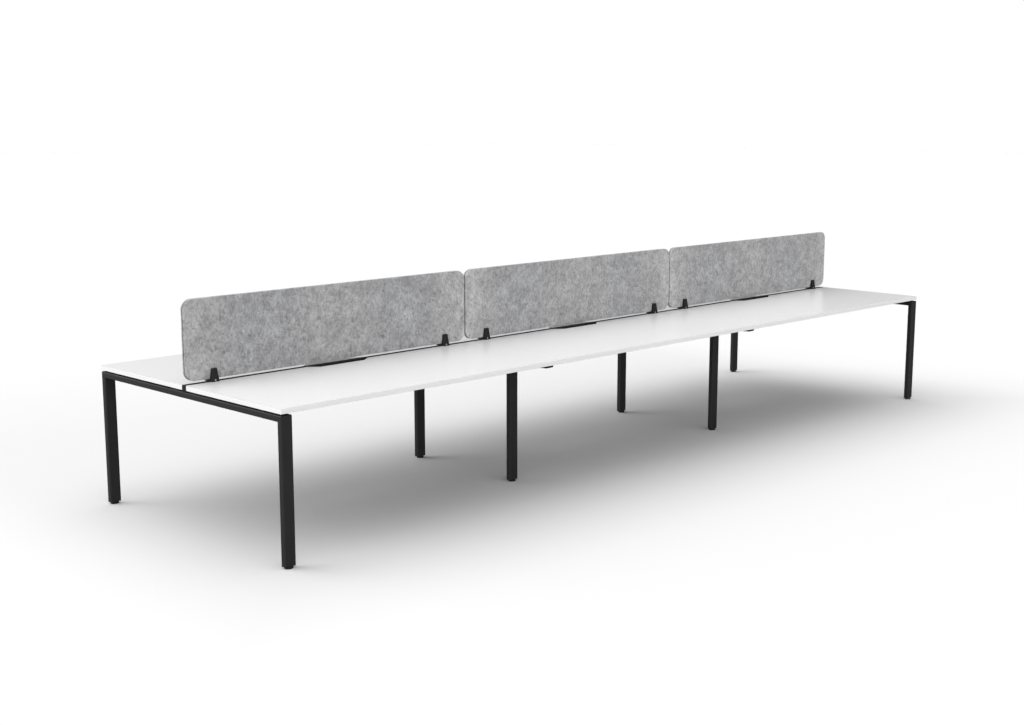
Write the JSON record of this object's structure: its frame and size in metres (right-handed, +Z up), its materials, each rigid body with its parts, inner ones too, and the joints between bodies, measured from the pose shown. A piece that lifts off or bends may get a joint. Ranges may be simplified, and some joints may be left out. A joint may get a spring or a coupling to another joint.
{
  "type": "back-to-back workstation",
  "caption": "Bench desk with two rows of white desktops back to back on a shared black steel frame, grey felt screens clamped along the middle and cable scallops.",
  "frame": {"origin": "on the floor under the middle of the workstation", "axes": "+X along the rows, towards the right end; -Y towards the front row; +Z up"},
  "size_m": [5.4, 1.544, 1.13],
  "materials": {
    "white_board": "white melamine face on chipboard, fine matt texture",
    "white_edge_band": "white plastic edge band, satin",
    "black_steel": "black powder coat, fine texture, semi-matt",
    "black_aluminium": "black anodised extrusion, satin",
    "grey_felt": "grey heathered needle felt board",
    "clamp_plastic": "black moulded plastic, fine grain",
    "foot_plastic": "black moulded plastic",
    "black_plastic": "black moulded plastic, matt",
    "zinc_steel": "bright zinc-plated steel"
  },
  "bodies": {
    "workstation": {"desktop_front_left": "white_board", "side_rail_front_left": "black_steel", "desktop_rear_left": "white_board", "side_rail_rear_left": "black_steel", "centre_rail_left": "black_aluminium", "felt_screen_left": "grey_felt", "desktop_front_middle": "white_board", "side_rail_front_middle": "black_steel", "desktop_rear_middle": "white_board", "side_rail_rear_middle": "black_steel", "centre_rail_middle": "black_aluminium", "felt_screen_middle": "grey_felt", "desktop_front_right": "white_board", "side_rail_front_right": "black_steel", "desktop_rear_right": "white_board", "side_rail_rear_right": "black_steel", "centre_rail_right": "black_aluminium", "felt_screen_right": "grey_felt", "edge_bands_front": "white_edge_band", "edge_bands_rear": "white_edge_band", "cross_beam_left_end": "black_steel", "leg_left_end_front": "black_steel", "leg_left_end_rear": "black_steel", "cross_beam_left_inner": "black_steel", "leg_left_inner_front": "black_steel", "leg_left_inner_rear": "black_steel", "cross_beam_right_inner": "black_steel", "leg_right_inner_front": "black_steel", "leg_right_inner_rear": "black_steel", "cross_beam_right_end": "black_steel", "leg_right_end_front": "black_steel", "leg_right_end_rear": "black_steel", "clamp_body_1": "clamp_plastic", "clamp_body_2": "clamp_plastic", "clamp_body_3": "clamp_plastic", "clamp_body_4": "clamp_plastic", "clamp_body_5": "clamp_plastic", "clamp_body_6": "clamp_plastic", "leg_plugs": "black_plastic", "tube_end_caps": "black_plastic", "rail_stubs": "black_steel", "desktop_spacers": "black_plastic", "desktop_screws": "zinc_steel", "rail_screws": "zinc_steel", "clamp_bolts": "zinc_steel", "clamp_nuts": "zinc_steel"},
    "left_end_front_foot": {"foot_left_end_front": "foot_plastic"},
    "left_end_rear_foot": {"foot_left_end_rear": "foot_plastic"},
    "left_inner_front_foot": {"foot_left_inner_front": "foot_plastic"},
    "left_inner_rear_foot": {"foot_left_inner_rear": "foot_plastic"},
    "right_inner_front_foot": {"foot_right_inner_front": "foot_plastic"},
    "right_inner_rear_foot": {"foot_right_inner_rear": "foot_plastic"},
    "right_end_front_foot": {"foot_right_end_front": "foot_plastic"},
    "right_end_rear_foot": {"foot_right_end_rear": "foot_plastic"},
    "clamp_1_jaw": {"clamp_jaw_1": "clamp_plastic"},
    "clamp_2_jaw": {"clamp_jaw_2": "clamp_plastic"},
    "clamp_3_jaw": {"clamp_jaw_3": "clamp_plastic"},
    "clamp_4_jaw": {"clamp_jaw_4": "clamp_plastic"},
    "clamp_5_jaw": {"clamp_jaw_5": "clamp_plastic"},
    "clamp_6_jaw": {"clamp_jaw_6": "clamp_plastic"}
  },
  "joints": [
    {"name": "left_end_front_foot_height", "type": "slide", "parent": "workstation", "child": "left_end_front_foot", "axis": [0, 0, 1], "range_m": [-0.015, 0]},
    {"name": "left_end_rear_foot_height", "type": "slide", "parent": "workstation", "child": "left_end_rear_foot", "axis": [0, 0, 1], "range_m": [-0.015, 0]},
    {"name": "left_inner_front_foot_height", "type": "slide", "parent": "workstation", "child": "left_inner_front_foot", "axis": [0, 0, 1], "range_m": [-0.015, 0]},
    {"name": "left_inner_rear_foot_height", "type": "slide", "parent": "workstation", "child": "left_inner_rear_foot", "axis": [0, 0, 1], "range_m": [-0.015, 0]},
    {"name": "right_inner_front_foot_height", "type": "slide", "parent": "workstation", "child": "right_inner_front_foot", "axis": [0, 0, 1], "range_m": [-0.015, 0]},
    {"name": "right_inner_rear_foot_height", "type": "slide", "parent": "workstation", "child": "right_inner_rear_foot", "axis": [0, 0, 1], "range_m": [-0.015, 0]},
    {"name": "right_end_front_foot_height", "type": "slide", "parent": "workstation", "child": "right_end_front_foot", "axis": [0, 0, 1], "range_m": [-0.015, 0]},
    {"name": "right_end_rear_foot_height", "type": "slide", "parent": "workstation", "child": "right_end_rear_foot", "axis": [0, 0, 1], "range_m": [-0.015, 0]},
    {"name": "clamp_1_jaw_opening", "type": "slide", "parent": "workstation", "child": "clamp_1_jaw", "axis": [0, -1, 0], "range_m": [0, 0.004]},
    {"name": "clamp_2_jaw_opening", "type": "slide", "parent": "workstation", "child": "clamp_2_jaw", "axis": [0, -1, 0], "range_m": [0, 0.004]},
    {"name": "clamp_3_jaw_opening", "type": "slide", "parent": "workstation", "child": "clamp_3_jaw", "axis": [0, -1, 0], "range_m": [0, 0.004]},
    {"name": "clamp_4_jaw_opening", "type": "slide", "parent": "workstation", "child": "clamp_4_jaw", "axis": [0, -1, 0], "range_m": [0, 0.004]},
    {"name": "clamp_5_jaw_opening", "type": "slide", "parent": "workstation", "child": "clamp_5_jaw", "axis": [0, -1, 0], "range_m": [0, 0.004]},
    {"name": "clamp_6_jaw_opening", "type": "slide", "parent": "workstation", "child": "clamp_6_jaw", "axis": [0, -1, 0], "range_m": [0, 0.004]}
  ]
}
